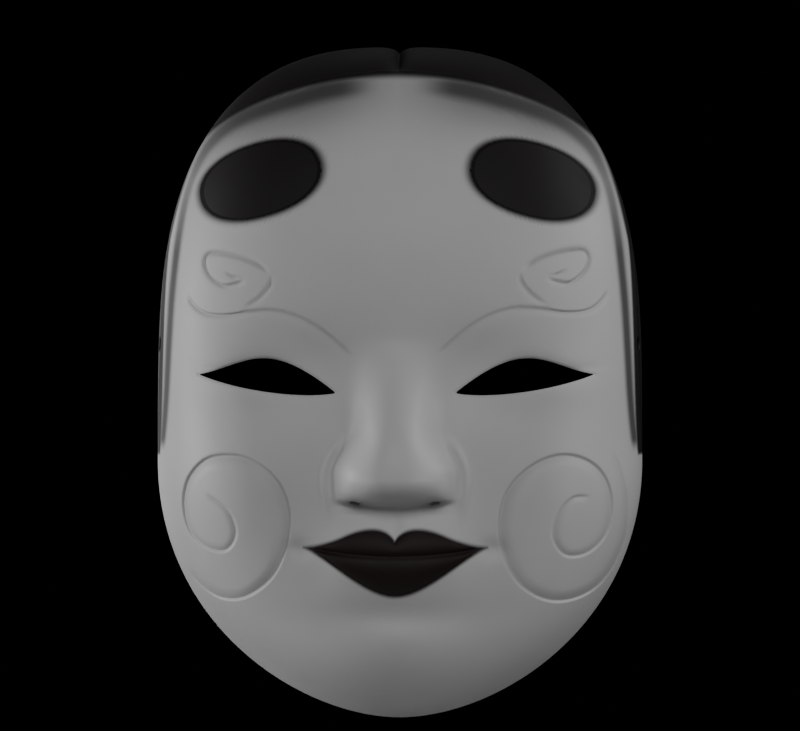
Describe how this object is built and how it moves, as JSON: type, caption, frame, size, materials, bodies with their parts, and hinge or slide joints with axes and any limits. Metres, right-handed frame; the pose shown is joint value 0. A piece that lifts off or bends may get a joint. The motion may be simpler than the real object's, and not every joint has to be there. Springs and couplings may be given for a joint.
{
  "type": "noh mask",
  "caption": "Carved stage mask of a calm young woman's face, hollow at the back, with eye slits, nostrils, glued pads and a side hole for each end of a tying cord.",
  "frame": {"origin": "middle of the flat back rim, level with the middle of the face's height", "axes": "+X across the face to a viewer's right, -Y out of the face, +Y out of the open back, +Z to the crown"},
  "size_m": [0.1538, 0.07, 0.2123],
  "materials": {
    "wood": "carved cypress, chisel marks under a clear seal",
    "ground_coat": "burnished satin",
    "lacquer": "wiped lacquer, satin",
    "ink": "satin",
    "lip_colour": "satin",
    "pad_cloth": "plain woven cotton over wadding"
  },
  "bodies": {
    "root": {"wooden_shell": "wood", "ground_coat": "ground_coat", "back_lacquer": "lacquer", "hair_ink": "ink", "brow_ink_left": "ink", "brow_ink_right": "ink", "upper_lip_colour": "lip_colour", "lower_lip_colour": "lip_colour", "forehead_pad": "pad_cloth", "cheek_pad_left": "pad_cloth", "cheek_pad_right": "pad_cloth", "chin_pad": "pad_cloth"}
  },
  "joints": []
}
